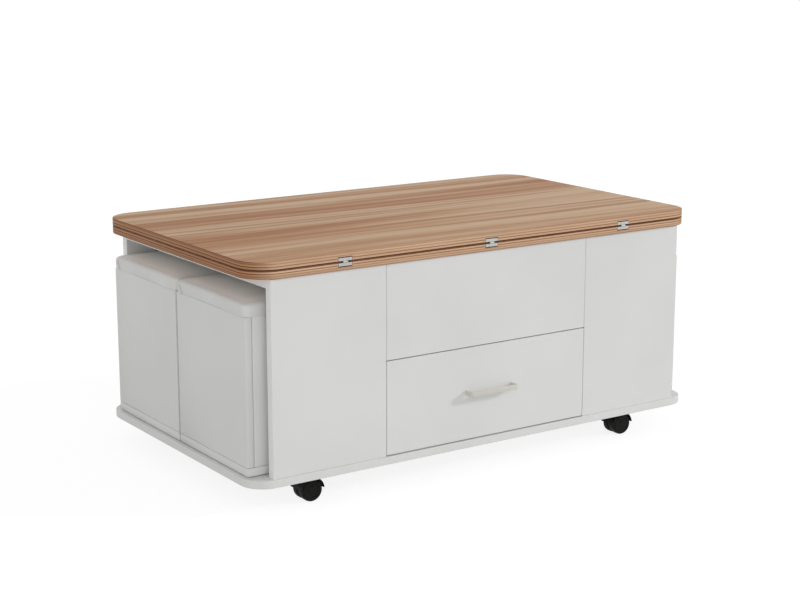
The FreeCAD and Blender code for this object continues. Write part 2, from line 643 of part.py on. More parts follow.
def make_top():
    slab = (leaf_length, "top_depth", "top_corner", "leaf_thickness", "leaf_round")
    lower = rounded_slab("lower_leaf_slab", *slab, ("bottom",), leaf_low)
    upper = rounded_slab("upper_leaf_slab", *slab, ("top",), upper_low)
    edge = "(-top_depth/2)"
    lower_recess = []
    upper_recess = []
    lower_hinges = []
    upper_hinges = []
    pins = []
    plate_depth = "hinge_inset + hinge_proud"
    plate_y = f"{edge} - hinge_proud"
    hollow = "(hinge_plate_height + hinge_plate_gap/2)"
    side_knuckle = "(knuckle_width/2 - knuckle_middle/2 - knuckle_play)"
    outer_hinge = f"({leaf_length}/2 - hinge_end_distance)"
    for index, step in enumerate((f"-{outer_hinge}", "0", outer_hinge)):
        left = f"{step} - hinge_width/2"
        below = f"{fold_z} - {hollow}"
        extent = ("hinge_width", plate_depth, f"2*{hollow}")
        lower_recess.append(box(f"lower_recess_{index}", (left, plate_y, below), extent))
        upper_recess.append(box(f"upper_recess_{index}", (left, plate_y, below), extent))
        plate = ("hinge_width", plate_depth, "hinge_plate_height")
        middle = ("knuckle_middle", f"{step} - knuckle_middle/2")
        outer_left = (side_knuckle, f"{step} - knuckle_width/2")
        outer_right = (side_knuckle, f"{step} + knuckle_width/2 - {side_knuckle}")
        for hinges, leaf, plate_z, tab_z, knuckles, bore in (
            (lower_hinges, "lower", below, f"{fold_z} - hinge_plate_gap/2", (outer_left, outer_right), "0"),
            (upper_hinges, "upper", f"{fold_z} + hinge_plate_gap/2", fold_z, (middle,), "run_clearance"),
        ):
            name = f"fold_hinge_{leaf}_{index}"
            solids = [box(f"{name}_plate", (left, plate_y, plate_z), plate)]
            for number, (width, low) in enumerate(knuckles):
                tab = (width, plate_depth, "hinge_plate_gap/2")
                solids.append(box(f"{name}_tab_{number}", (low, plate_y, tab_z), tab))
                spot = (low, fold_y, fold_z)
                solids.append(cylinder(f"{name}_barrel_{number}", "x", spot, "knuckle_radius", width))
            hole_low = (f"{step} - knuckle_width/2", fold_y, fold_z)
            hole = cylinder(f"{name}_hole", "x", hole_low, f"fold_pin_radius + {bore}", "knuckle_width")
            hinges.append(cut(name, fuse(f"{name}_blank", solids), [hole]))
        pins.append(cylinder(f"fold_pin_{index}", "x", hole_low, "fold_pin_radius", "knuckle_width"))
    node(cut("lower_leaf", lower, lower_recess), "lower_leaf")
    node(cut("upper_leaf", upper, upper_recess), "upper_leaf")
    node(group("fold_hinge_lower", lower_hinges), "fold_hinge_lower")
    node(group("fold_hinge_upper", upper_hinges), "fold_hinge_upper")
    node(group("fold_hinge_pins", pins), "fold_hinge_pins")


def make_casters():
    plates = []
    screws = []
    plate_low = "(caster_height - caster_plate_thickness)"
    hood_in = "(wheel_radius + hood_gap)"
    hood_out = "(wheel_radius + hood_gap + hood_wall)"
    span = "(web_thickness + 2*wheel_play + 2*wheel_width)"
    for side, sign in sides:
        for end, along in ends:
            name = f"caster_{end}_{side}"
            x = signed(sign, "base_length/2 - caster_end")
            y = signed(along, "top_depth/2 - caster_side")
            axle_x = f"({x} - caster_trail)"

            corner = (f"{x} - caster_plate/2", f"{y} - caster_plate/2", plate_low)
            plate_run = "caster_plate_thickness"
            blank = box(f"{name}_plate_blank", corner, ("caster_plate", "caster_plate", plate_run))
            socket_radius = "stem_radius + run_clearance"
            socket = cylinder(f"{name}_socket", "z", (x, y, plate_low), socket_radius, plate_run)
            plates.append(cut(f"{name}_plate", blank, [socket]))
            for dx in (-1, 1):
                for dy in (-1, 1):
                    spot = (
                        f"{x} + {dx}*(caster_plate/2 - caster_screw_inset)",
                        f"{y} + {dy}*(caster_plate/2 - caster_screw_inset)",
                    )
                    label = f"{name}_screw_{dx + 1}{dy + 1}"
                    head_spot = (*spot, f"{plate_low} - screw_head_height")
                    shank_spot = (*spot, plate_low)
                    head = cylinder(f"{label}_head", "z", head_spot, "screw_head_radius", "screw_head_height")
                    shank = cylinder(f"{label}_shank", "z", shank_spot, "screw_radius", "screw_length")
                    screws.append(fuse(label, [head, shank]))

            hood_y = f"{y} - {span}/2 - wheel_play"
            hood_run = f"{span} + 2*wheel_play"
            drum = cylinder(f"{name}_drum", "y", (axle_x, hood_y, "wheel_radius"), hood_out, hood_run)
            above = box(
                f"{name}_above",
                (f"{axle_x} - {hood_out}", hood_y, "wheel_radius + hood_start"),
                (f"2*{hood_out}", hood_run, hood_out),
            )
            cap = add("Common", f"{name}_cap")
            cap.Base = drum
            cap.Tool = above
            head_run = f"{plate_low} - swivel_play - wheel_radius"
            head = cylinder(f"{name}_head", "z", (x, y, "wheel_radius"), "head_radius", head_run)
            room_y = f"{y} - {span}"
            room = cylinder(f"{name}_room", "y", (axle_x, room_y, "wheel_radius"), hood_in, f"2*{span}")
            shell = cut(f"{name}_shell", fuse(f"{name}_crown", [cap, head]), [room])
            web_y = f"{y} - web_thickness/2"
            web_spot = (axle_x, web_y, "wheel_radius")
            web = cylinder(f"{name}_web", "y", web_spot, "wheel_radius - web_inset", "web_thickness")
            rib = box(
                f"{name}_rib",
                (f"{axle_x} - head_radius", web_y, "wheel_radius"),
                ("2*head_radius", "web_thickness", f"{hood_in} + hood_wall/2"),
            )
            stem_low = f"{plate_low} - swivel_play - hood_wall"
            stem_run = "hood_wall + caster_plate_thickness"
            stem = cylinder(f"{name}_stem", "z", (x, y, stem_low), "stem_radius", stem_run)
            hole_radius = "axle_radius + run_clearance"
            hole = cylinder(f"{name}_axle_hole", "y", web_spot, hole_radius, "web_thickness")
            fork = cut(f"{name}_fork", fuse(f"{name}_fork_blank", [shell, web, rib, stem]), [hole])
            node(fork, f"{name}_fork")

            wheels = []
            for part, low in (("a", f"{y} - {span}/2"), ("b", f"{y} + {span}/2 - wheel_width")):
                spot = (axle_x, low, "wheel_radius")
                disc = cylinder(f"{name}_disc_{part}", "y", spot, "wheel_radius", "wheel_width")
                bore = cylinder(f"{name}_bore_{part}", "y", spot, "axle_radius", "wheel_width")
                wheels.append(cut(f"{name}_wheel_{part}", disc, [bore]))
            axle_low = (axle_x, f"{y} - {span}/2", "wheel_radius")
            wheels.append(cylinder(f"{name}_axle", "y", axle_low, "axle_radius", span))
            node(group(f"{name}_wheels", wheels), f"{name}_wheels")
    node(group("caster_plates", plates), "caster_plates")
    node(group("caster_screws", screws), "caster_screws")


make_cabinet()
make_drawer()
make_stools()
make_lift()
make_carriers()
make_top()
make_casters()
doc.recompute()

faults = [item.Name for item in doc.Objects if "Invalid" in item.State or "Error" in item.State]
faults += [item.Label for item in nodes if item.Shape.isNull() or not item.Shape.isValid()]
if faults:
    raise RuntimeError(f"not built: {faults}")

os.makedirs("parts", exist_ok=True)
for item in nodes:
    item.Shape.exportStep(f"parts/{item.Label}.step")
print(len(nodes), "nodes,", sum(len(item.Shape.Solids) for item in nodes), "solids written")
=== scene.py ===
import math

import bmesh
import bpy
from mathutils import Matrix, Vector


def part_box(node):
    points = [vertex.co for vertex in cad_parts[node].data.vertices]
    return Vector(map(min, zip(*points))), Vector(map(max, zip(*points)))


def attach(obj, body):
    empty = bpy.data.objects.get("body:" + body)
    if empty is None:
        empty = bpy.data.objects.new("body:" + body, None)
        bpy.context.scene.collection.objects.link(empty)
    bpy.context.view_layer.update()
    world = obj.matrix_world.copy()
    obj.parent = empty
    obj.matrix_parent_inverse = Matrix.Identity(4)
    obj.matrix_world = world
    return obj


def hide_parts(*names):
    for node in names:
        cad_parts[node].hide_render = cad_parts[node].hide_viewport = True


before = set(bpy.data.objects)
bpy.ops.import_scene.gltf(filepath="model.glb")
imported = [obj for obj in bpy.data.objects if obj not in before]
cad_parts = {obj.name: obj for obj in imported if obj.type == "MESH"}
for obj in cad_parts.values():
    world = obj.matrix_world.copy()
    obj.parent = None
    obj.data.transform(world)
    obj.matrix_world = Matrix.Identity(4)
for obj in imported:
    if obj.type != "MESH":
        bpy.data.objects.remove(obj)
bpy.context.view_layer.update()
scene = bpy.context.scene
scene.view_settings.view_transform = "Standard"
print("frame loaded,", len(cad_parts), "nodes")


# shader wiring

def tone(red, green, blue):  # screen colour 0 to 255 as linear RGBA
    def linear(part):
        part /= 255
        return part / 12.92 if part <= 0.04045 else ((part + 0.055) / 1.055) ** 2.4
    return (linear(red), linear(green), linear(blue), 1)


class Wire:
    def __init__(self, wiring, socket):
        self.wiring = wiring
        self.socket = socket

    def maths(self, operation, first, second):
        return self.wiring.node("ShaderNodeMath", {"operation": operation}, {0: first, 1: second})

    def __add__(self, other):
        return self.maths("ADD", self, other)

    def __sub__(self, other):
        return self.maths("SUBTRACT", self, other)

    def __rsub__(self, other):
        return self.maths("SUBTRACT", other, self)

    def __mul__(self, other):
        return self.maths("MULTIPLY", self, other)

    def __abs__(self):
        return self.maths("ABSOLUTE", self, 0)

    __radd__ = __add__
    __rmul__ = __mul__


class Wiring:
    def __init__(self, tree):
        self.tree = tree

    def node(self, kind, settings=None, inputs=None, output=0):
        made = self.tree.nodes.new(kind)
        for name, value in (settings or {}).items():
            if name == "stops":
                ramp = made.color_ramp
                for index, (spot, colour) in enumerate(value):
                    stop = ramp.elements[index] if index < 2 else ramp.elements.new(spot)
                    stop.position = spot
                    stop.color = colour
            else:
                setattr(made, name, value)
        for key, value in (inputs or {}).items():
            if isinstance(value, Wire):
                self.tree.links.new(value.socket, made.inputs[key])
            else:
                made.inputs[key].default_value = value
        return Wire(self, made.outputs[output])

    def place(self):  # x, y and z of the surface in the table's own frame
        spot = self.node("ShaderNodeTexCoord", output="Object")
        return [self.node("ShaderNodeSeparateXYZ", inputs={0: spot}, output=axis) for axis in "XYZ"]

    def noise(self, x, y, z, scale=1.0, detail=2.0, roughness=0.5):
        spot = self.node("ShaderNodeCombineXYZ", inputs={0: x, 1: y, 2: z})
        values = {"Scale": scale, "Detail": detail, "Roughness": roughness}
        return self.node("ShaderNodeTexNoise", inputs={"Vector": spot, **values})

    def cells(self, x, y, z, scale, feature="F1"):
        spot = self.node("ShaderNodeCombineXYZ", inputs={0: x, 1: y, 2: z})
        return self.node("ShaderNodeTexVoronoi", {"feature": feature}, {"Vector": spot, "Scale": scale})

    def spread(self, value, low, high, toLow=0.0, toHigh=1.0, smooth=False):
        way = "SMOOTHSTEP" if smooth else "LINEAR"
        limits = {"From Min": low, "From Max": high, "To Min": toLow, "To Max": toHigh}
        return self.node("ShaderNodeMapRange", {"interpolation_type": way}, {"Value": value, **limits})

    def ramp(self, value, stops):
        return self.node("ShaderNodeValToRGB", {"stops": stops}, {0: value})

    def blend(self, share, first, second):
        return self.node("ShaderNodeMix", {"data_type": "RGBA"}, {0: share, 6: first, 7: second}, output=2)

    def relief(self, height, depth, strength=1.0):
        values = {"Distance": depth, "Strength": strength}
        return self.node("ShaderNodeBump", inputs={"Height": height, **values})


class Finish(Wiring):
    def __init__(self, name, shaderValues):
        self.material = bpy.data.materials.new(name)
        self.material.use_nodes = True
        super().__init__(self.material.node_tree)
        self.shader = self.tree.nodes["Principled BSDF"]
        for socketName, value in shaderValues.items():
            self.shader.inputs[socketName].default_value = value

    def feed(self, colour, rough, normal):
        for socketName, wire in (("Base Color", colour), ("Roughness", rough), ("Normal", normal)):
            self.tree.links.new(wire.socket, self.shader.inputs[socketName])
        return self.material


# finishes

laminate = {
    "board": (tone(224, 224, 222), tone(229, 229, 228)),  # dark and light of the soft clouding
    # painted light: a paler white for the dividers and bay tops, which stand in shade beside the stools and
    # under the leaf
    "litBay": (tone(243, 243, 241), tone(247, 247, 245)),
    "inner": (tone(219, 218, 213), tone(226, 225, 221)),
    "band": tone(244, 244, 243),  # painted light: paler white on the shaded end faces of the long panels
    "litEndFrom": (0.5494, 0.5496),  # distance from the middle where those ends begin
}


def whiteLaminate(name, part, litEnds=False):
    dark, light = laminate[part]
    look = Finish(name, {"Specular IOR Level": 0.42})
    x, y, z = look.place()
    cloud = look.noise(x, y, z, scale=3.5, detail=3)
    pearl = look.noise(x, y, z, scale=950, detail=1)
    colour = look.blend(look.spread(cloud, 0.35, 0.65), dark, light)
    # painted light on the end faces
    if litEnds:
        colour = look.blend(look.spread(abs(x), *laminate["litEndFrom"]), colour, laminate["band"])
    rough = look.spread(cloud * 0.7 + pearl * 0.3, 0.3, 0.7, 0.36, 0.46)
    return look.feed(colour, rough, look.relief(pearl, 0.00003, 0.5))


woodLook = {
    "stops": [  # from the dark streaks to the pale ones
        (0.40, tone(174, 127, 95)), (0.46, tone(192, 149, 118)), (0.50, tone(200, 160, 129)),
        (0.54, tone(211, 179, 149)), (0.61, tone(217, 188, 158)),
    ],
    "vein": tone(164, 117, 84),
    "veinShare": 0.55,
    "pore": tone(146, 104, 75),
    "poreShare": 0.3,
    "sway": 0.07,          # how far the streaks wander across the leaf
}


def streakedWood(name, shift=0.0):  # the shift gives each leaf its own streaks
    look = Finish(name, {"Specular IOR Level": 0.03})
    x, y, z = look.place()
    y = y + shift
    drift = look.noise(x * 0.9, y * 2.2, z, detail=1)
    across = y + drift * woodLook["sway"]
    broad = look.noise(x * 0.45, across * 17, z, detail=1.5)
    band = look.noise(x * 0.9, across * 42, z, detail=2)
    line = look.noise(x * 2.2, across * 150, z, detail=3)
    pore = look.noise(x * 14, across * 900, z, detail=2)
    colour = look.ramp(broad * 0.52 + band * 0.32 + line * 0.16, woodLook["stops"])
    vein = look.spread(look.noise(x * 0.7, across * 64 + 7, z, detail=1), 0.60, 0.70, smooth=True)
    colour = look.blend(vein * woodLook["veinShare"], colour, woodLook["vein"])
    pores = look.spread(pore, 0.52, 0.72)
    colour = look.blend(pores * woodLook["poreShare"], colour, woodLook["pore"])
    rough = look.spread(line + pore * 0.4, 0.5, 0.9, 0.54, 0.66)
    return look.feed(colour, rough, look.relief(pore, 0.00006, 0.4))


bandLook = {
    "longSide": (tone(200, 161, 130), tone(222, 187, 156)),   # dark and light of the grain
    # painted shade: darker grain on the short sides
    "shadedEndGrain": (tone(168, 121, 87), tone(192, 144, 108)),
    # painted shade in the grooves, darker on the short sides
    "longGrooveShade": tone(166, 122, 90),
    "endGrooveShade": tone(124, 76, 42),
    # painted shade along the seam between the leaves
    "seamShade": tone(98, 56, 32),
    "shortFrom": (0.535, 0.595),     # distance from the middle where the short sides begin
    "grooveLine": (0.0004, 0.0016),  # from full tone to none, away from the line's middle
    # painted shade along the rim
    "rimShade": (0.0014, 0.0030),
    "seamLine": (0.0011, 0.0024),
    "shortRim": 0.85,                # strength of the painted shade along the rim on the short sides
    "upperRim": 0.0,                 # and on the long sides of each leaf
    "lowerRim": 0.7,
}


def reededBand(name, grooves, seamZ, rimZ, longRim):
    spec = bandLook
    look = Finish(name, {"Specular IOR Level": 0.10})
    x, y, z = look.place()
    ends = look.spread(abs(x), *spec["shortFrom"], smooth=True)
    along = look.noise(x * 3, y * 3, z * 260, detail=2)
    fine = look.noise(x * 30, y * 30, z * 1400, detail=2)
    grain = look.spread(along * 0.7 + fine * 0.3, 0.35, 0.65)
    # painted shade: darker grain on the short sides
    colour = look.blend(ends, look.blend(grain, *spec["longSide"]), look.blend(grain, *spec["shadedEndGrain"]))
    # painted shade in the grooves
    grooveShade = look.blend(ends, spec["longGrooveShade"], spec["endGrooveShade"])
    for groove, strength in grooves:
        line = look.spread(abs(z - groove), *spec["grooveLine"], strength, 0, smooth=True)
        colour = look.blend(line, colour, grooveShade)
    # painted shade along the rim, stronger on the short sides
    rimShade = look.spread(abs(z - rimZ), *spec["rimShade"], 1, 0, smooth=True)
    colour = look.blend(rimShade * look.spread(ends, 0, 1, longRim, spec["shortRim"]), colour, grooveShade)
    # painted shade beside the seam between the leaves
    besideSeam = look.spread(abs(z - seamZ), *spec["seamLine"], smooth=True)
    colour = look.blend(besideSeam, spec["seamShade"], colour)
    rough = look.spread(fine, 0.3, 0.7, 0.42, 0.55)
    return look.feed(colour, rough, look.relief(fine, 0.00008, 0.4))


leather = {
    "clouds": (tone(222, 222, 219), tone(230, 230, 228)),
    # painted light: the top paler than the sides
    "top": tone(247, 246, 244),
    "topFrom": (0.4425, 0.4465),     # height where the sides turn into the top
    # painted shade inside the tucks
    "tuckShade": tone(112, 109, 104),
    "tuckShadeShare": 0.9,
}


def seatLeather():
    look = Finish("seatLeather", {"Specular IOR Level": 0.36})
    x, y, z = look.place()
    cloud = look.noise(x, y, z, scale=7, detail=3)
    pebble = look.cells(x, y, z, 620, "DISTANCE_TO_EDGE")
    crease = look.noise(x, y, z, scale=48, detail=4, roughness=0.6)
    colour = look.blend(look.spread(cloud, 0.35, 0.65), *leather["clouds"])
    # painted light on the top
    colour = look.blend(look.spread(z, *leather["topFrom"], smooth=True), colour, leather["top"])
    # painted shade inside the tucks, from the value stored on the mesh
    fold = look.node("ShaderNodeAttribute", {"attribute_name": "fold"}, output="Fac")
    colour = look.blend(fold * leather["tuckShadeShare"], colour, leather["tuckShade"])
    rough = look.spread(crease, 0.3, 0.7, 0.46, 0.58)
    height = look.spread(pebble, 0.0, 0.3) * 0.5 + crease * 0.5
    return look.feed(colour, rough, look.relief(height, 0.00025, 0.4))


def mouldedBlack(name, gloss):
    look = Finish(name, {"Specular IOR Level": 0.15})
    x, y, z = look.place()
    grit = look.noise(x, y, z, scale=1500, detail=2)
    scuff = look.noise(x, y, z * 4, scale=90, detail=4)
    colour = look.blend(look.spread(scuff, 0.5, 0.75), tone(10, 10, 9), tone(24, 24, 22))
    rough = look.spread(grit, 0.3, 0.7, gloss, gloss + 0.14)
    return look.feed(colour, rough, look.relief(grit, 0.00005, 0.5))


def brushedMetal(name, light, dark, grain, rough):
    look = Finish(name, {"Metallic": 1.0})
    x, y, z = look.place()
    hair = look.noise(x * grain[0], y * grain[1], z * grain[2], detail=3)
    cloud = look.noise(x, y, z, scale=25, detail=2)
    colour = look.blend(look.spread(hair * 0.7 + cloud * 0.3, 0.35, 0.65), dark, light)
    rougher = look.spread(hair, 0.3, 0.7, rough, rough + 0.14)
    return look.feed(colour, rougher, look.relief(hair, 0.00003, 0.4))


def powderCoat(name, light, dark):
    look = Finish(name, {"Specular IOR Level": 0.5})
    x, y, z = look.place()
    peel = look.noise(x, y, z, scale=620, detail=2)
    cloud = look.noise(x, y, z, scale=14, detail=2)
    colour = look.blend(look.spread(cloud, 0.35, 0.65), dark, light)
    rough = look.spread(peel, 0.3, 0.7, 0.42, 0.56)
    return look.feed(colour, rough, look.relief(peel, 0.0001, 0.5))


def softPad(name, light, dark, scale, depth):
    look = Finish(name, {"Specular IOR Level": 0.2})
    x, y, z = look.place()
    fibre = look.noise(x, y * 0.6, z, scale=scale, detail=5, roughness=0.7)
    colour = look.blend(look.spread(fibre, 0.35, 0.65), dark, light)
    rough = look.spread(fibre, 0.3, 0.7, 0.82, 0.95)
    return look.feed(colour, rough, look.relief(fibre, depth, 0.6))


white = whiteLaminate("whiteLaminate", "board")
# a paler white with painted light on the shaded panel ends
litEndWhite = whiteLaminate("litEndWhite", "board", litEnds=True)
# a paler white with painted light in the shaded bays
litBayWhite = whiteLaminate("litBayWhite", "litBay")
innerWhite = whiteLaminate("innerWhite", "inner")
cover = seatLeather()
forkPlastic = mouldedBlack("forkPlastic", 0.42)
treadPlastic = mouldedBlack("treadPlastic", 0.5)
liftCoat = powderCoat("liftCoat", tone(196, 197, 198), tone(184, 185, 187))
handleCoat = powderCoat("handleCoat", tone(217, 215, 207), tone(209, 207, 199))
zinc = brushedMetal("zincPlate", tone(205, 206, 208), tone(176, 177, 180), (60, 900, 900), 0.3)
nickel = brushedMetal("satinNickel", tone(206, 206, 202), tone(170, 170, 166), (900, 300, 60), 0.42)
wireSteel = brushedMetal("springWire", tone(150, 150, 150), tone(108, 108, 108), (500, 500, 500), 0.3)
padRubber = softPad("padRubber", tone(196, 196, 190), tone(182, 182, 176), 400, 0.0001)
gliderFelt = softPad("gliderFelt", tone(206, 205, 200), tone(180, 179, 174), 1100, 0.0004)
bedShade = softPad("bedShade", tone(52, 42, 34), tone(38, 30, 25), 500, 0.0002)
print("finishes mixed")

cadFinish = {
    "base_board": white, "front_panel_upper": white, "drawer_front": white,
    "front_panel_left": litEndWhite, "front_panel_right": litEndWhite, "back_panel": litEndWhite,
    "divider_left": litBayWhite, "divider_right": litBayWhite, "bay_top_left": litBayWhite, "bay_top_right": litBayWhite,
    "compartment_floor": innerWhite, "drawer_sides": innerWhite, "drawer_back": innerWhite,
    "drawer_bottom": innerWhite, "top_bumpers": padRubber, "glide_strips": gliderFelt,
    "lift_plates": liftCoat, "lift_arms_front": liftCoat, "lift_cross_tube": liftCoat,
    "lift_arms_rear": liftCoat, "lift_carriers": liftCoat, "lift_springs": wireSteel,
    "lift_shaft": zinc, "lift_rear_pins": zinc, "lift_screws": zinc,
    "carrier_pins": zinc, "carrier_screws": zinc, "caster_plates": zinc, "caster_screws": zinc,
    "drawer_rails": zinc, "drawer_slides": zinc, "handle_screws": zinc,
    "fold_hinge_lower": nickel, "fold_hinge_upper": nickel, "fold_hinge_pins": nickel,
}
stools = [f"stool_{end}_{side}" for side in ("left", "right") for end in ("front", "rear")]
casters = [f"caster_{end}_{side}" for side in ("left", "right") for end in ("front", "rear")]
for stool in stools:
    cadFinish[f"{stool}_box"] = white
    cadFinish[f"{stool}_seat_board"] = innerWhite
for caster in casters:
    cadFinish[f"{caster}_fork"] = forkPlastic
for node, finish in cadFinish.items():
    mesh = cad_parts[node].data
    mesh.materials.clear()
    mesh.materials.append(finish)
print("finishes laid on", len(cadFinish), "nodes")


# pieces

nearly = 1e-6  # lengths closer than this count as equal


def addPiece(name, bm, body, finishes, replaced=(), sharpAngle=32):
    bmesh.ops.recalc_face_normals(bm, faces=bm.faces)
    mesh = bpy.data.meshes.new(name)
    bm.to_mesh(mesh)
    bm.free()
    mesh.shade_smooth()
    mesh.set_sharp_from_angle(angle=math.radians(sharpAngle))
    for finish in finishes:
        mesh.materials.append(finish)
    piece = bpy.data.objects.new(name, mesh)
    scene.collection.objects.link(piece)
    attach(piece, body)
    if replaced:
        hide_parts(*replaced)
    return piece


def newVerts(made):
    return [item for item in made["geom"] if isinstance(item, bmesh.types.BMVert)]


def withBorders(faces):  # the faces with their edges and corners, as one list
    edges = dict.fromkeys(edge for face in faces for edge in face.edges)
    verts = dict.fromkeys(vert for face in faces for vert in face.verts)
    return [*faces, *edges, *verts]


leafEdge = {
    "corner": 0.065,       # rounding of the four corners, seen from above
    "cornerSteps": 16,
    "rim": 0.0012,         # easing of the outer rim
    "seamEase": 0.0013,    # easing beside the seam between the leaves
    "easeSteps": 3,
    "upperGrooves": ((0.26, 0.6), (0.60, 1.0)),  # share of the thickness from the rim, and strength
    "lowerGrooves": ((0.32, 0.6), (0.62, 1.0)),
    "grooveHalf": 0.0008,
    "grooveDepth": 0.0007,
    "hingeWidth": 0.033,
    "hingeBed": 0.002,     # how deep the hinge plates are let in
    "bedFrom": 0.0008,     # faces deeper than this belong to the beds
    "bedMargin": 0.0007,   # open line beside the plates
    "bedOver": 0.0019,     # and past their outer edges
}


def leafBlank(low, high):
    bm = bmesh.new()
    bmesh.ops.create_grid(bm, x_segments=1, y_segments=1, size=1)
    bmesh.ops.scale(bm, vec=(high.x, high.y, 1), verts=bm.verts)
    bmesh.ops.translate(bm, vec=(0, 0, low.z), verts=bm.verts)
    bmesh.ops.bevel(
        bm, geom=bm.verts[:], offset=leafEdge["corner"], affect="VERTICES",
        segments=leafEdge["cornerSteps"], profile=0.5, material=-1,
    )
    made = bmesh.ops.extrude_face_region(bm, geom=bm.faces[:], use_keep_orig=True)
    bmesh.ops.translate(bm, vec=(0, 0, high.z - low.z), verts=newVerts(made))
    bmesh.ops.recalc_face_normals(bm, faces=bm.faces)
    return bm


def easeRing(bm, level, ease):
    ring = [edge for edge in bm.edges if all(abs(vert.co.z - level) < nearly for vert in edge.verts)]
    bmesh.ops.bevel(
        bm, geom=ring, offset=ease, affect="EDGES", segments=leafEdge["easeSteps"], profile=0.5, material=-1,
    )


def onSide(face):
    return abs(face.normal.z) < 0.9


def sideFaces(bm):
    return [face for face in bm.faces if onSide(face)]


def frontFaces(bm, back):  # side faces in front of the back of the hinge beds
    return [face for face in sideFaces(bm) if face.calc_center_median().y < back]


def cutAcross(bm, faces, spot, facing):
    geom = withBorders(faces)
    return bmesh.ops.bisect_plane(bm, geom=geom, dist=nearly / 10, plane_co=spot, plane_no=facing)


def cutGroove(bm, level, strength):
    for shift in (-1, 1, 0):  # both borders, then the valley
        bm.normal_update()
        cut = cutAcross(bm, sideFaces(bm), (0, 0, level + shift * leafEdge["grooveHalf"]), (0, 0, 1))
    bm.normal_update()
    for item in cut["geom_cut"]:
        if isinstance(item, bmesh.types.BMVert):
            item.co -= item.normal * leafEdge["grooveDepth"] * strength


def cutHingeBed(bm, middle, front, bedZ, seamZ):
    reach = leafEdge["hingeWidth"] / 2 + leafEdge["bedMargin"]
    left, right = middle - reach, middle + reach
    back = front + leafEdge["hingeBed"]

    def atHinge(face):
        places = [vert.co.x for vert in face.verts]
        return min(places) < right and max(places) > left

    for spot, facing in (((left, 0, 0), (1, 0, 0)), ((right, 0, 0), (1, 0, 0)), ((0, 0, bedZ), (0, 0, 1))):
        bm.normal_update()
        cutAcross(bm, [face for face in frontFaces(bm, back) if atHinge(face)], spot, facing)
    bm.normal_update()
    lowest, highest = sorted((bedZ, seamZ))
    bed = []
    for face in frontFaces(bm, back):
        centre = face.calc_center_median()
        if abs(centre.x - middle) < reach and lowest < centre.z < highest:
            bed.append(face)
    made = bmesh.ops.extrude_face_region(bm, geom=bed)
    bmesh.ops.delete(bm, geom=[face for face in bed if face.is_valid], context="FACES")
    for vert in newVerts(made):
        vert.co.y = back


def markFaces(bm, front, hingeEnd):  # 0 the flat faces, 1 the edge, 2 the hinge beds
    bm.normal_update()
    for face in bm.faces:
        centre = face.calc_center_median()
        sunk = leafEdge["bedFrom"] < centre.y - front < leafEdge["hingeBed"] + nearly
        inBed = sunk and abs(centre.x) < hingeEnd + leafEdge["hingeBed"]
        face.material_index = 2 if inBed else 1 if onSide(face) else 0


def makeLeaf(name, node, hingeNode, body, wood, edgeName, upper):
    low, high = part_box(node)
    hingeLow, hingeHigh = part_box(hingeNode)
    rimZ, seamZ = (high.z, low.z) if upper else (low.z, high.z)
    bedZ = hingeHigh.z + leafEdge["bedOver"] if upper else hingeLow.z - leafEdge["bedOver"]
    shares = leafEdge["upperGrooves" if upper else "lowerGrooves"]
    grooves = [(rimZ + share * (seamZ - rimZ), strength) for share, strength in shares]
    bm = leafBlank(low, high)
    easeRing(bm, rimZ, leafEdge["rim"])
    easeRing(bm, seamZ, leafEdge["seamEase"])
    for level, strength in grooves:
        cutGroove(bm, level, strength)
    halfHinge = leafEdge["hingeWidth"] / 2
    for middle in (hingeLow.x + halfHinge, 0, hingeHigh.x - halfHinge):
        cutHingeBed(bm, middle, low.y, bedZ, seamZ)
    markFaces(bm, low.y, hingeHigh.x)
    band = reededBand(edgeName, grooves, seamZ, rimZ, bandLook["upperRim" if upper else "lowerRim"])
    addPiece(name, bm, body, [wood, band, bedShade], [node], sharpAngle=25)


topWood, innerWood = streakedWood("topWood"), streakedWood("innerWood", 2.3)
makeLeaf("upperLeaf", "upper_leaf", "fold_hinge_upper", "folding_leaf", topWood, "upperEdge", upper=True)
makeLeaf("lowerLeaf", "lower_leaf", "fold_hinge_lower", "table", innerWood, "lowerEdge", upper=False)
print("leaves cut")

stoolBox = {
    "panel": 0.016,
    "bottom": 0.018,
    "joint": 0.0005,       # half of the seam between two boards
    "edgeRound": 0.0006,
}


def addBoard(bm, low, high, edgeRound):
    made = bmesh.ops.create_cube(bm, size=1)["verts"]
    bmesh.ops.scale(bm, vec=high - low, verts=made)
    bmesh.ops.translate(bm, vec=(low + high) / 2, verts=made)
    edges = list({edge for vert in made for edge in vert.link_edges})
    bmesh.ops.bevel(bm, geom=edges, offset=edgeRound, affect="EDGES", segments=2, profile=0.5, material=-1)


def makeStoolBox(stool):
    node = f"{stool}_box"
    low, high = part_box(node)
    panel, joint = stoolBox["panel"], stoolBox["joint"]
    floorTop = low.z + stoolBox["bottom"]
    wallLow = floorTop + joint
    innerLow, innerHigh = low.x + panel + joint, high.x - panel - joint
    boards = [
        (low, (high.x, high.y, floorTop - joint)),
        ((low.x, low.y, wallLow), (low.x + panel - joint, high.y, high.z)),
        ((high.x - panel + joint, low.y, wallLow), high),
        ((innerLow, low.y, wallLow), (innerHigh, low.y + panel, high.z)),
        ((innerLow, high.y - panel, wallLow), (innerHigh, high.y, high.z)),
    ]
    bm = bmesh.new()
    for corner, opposite in boards:
        addBoard(bm, Vector(corner), Vector(opposite), stoolBox["edgeRound"])
    addPiece(f"{stool}_boards", bm, stool, [white], [node])


for stool in stools:
    makeStoolBox(stool)
print("stool boxes joined")

panelEdging = {
    "widths": {"front_panel_upper": 0.0013, "drawer_front": 0.0007},  # narrows the open seam beside each
    "depth": 0.004,
    "inset": 0.0003,
    "edgeRound": 0.0002,
}


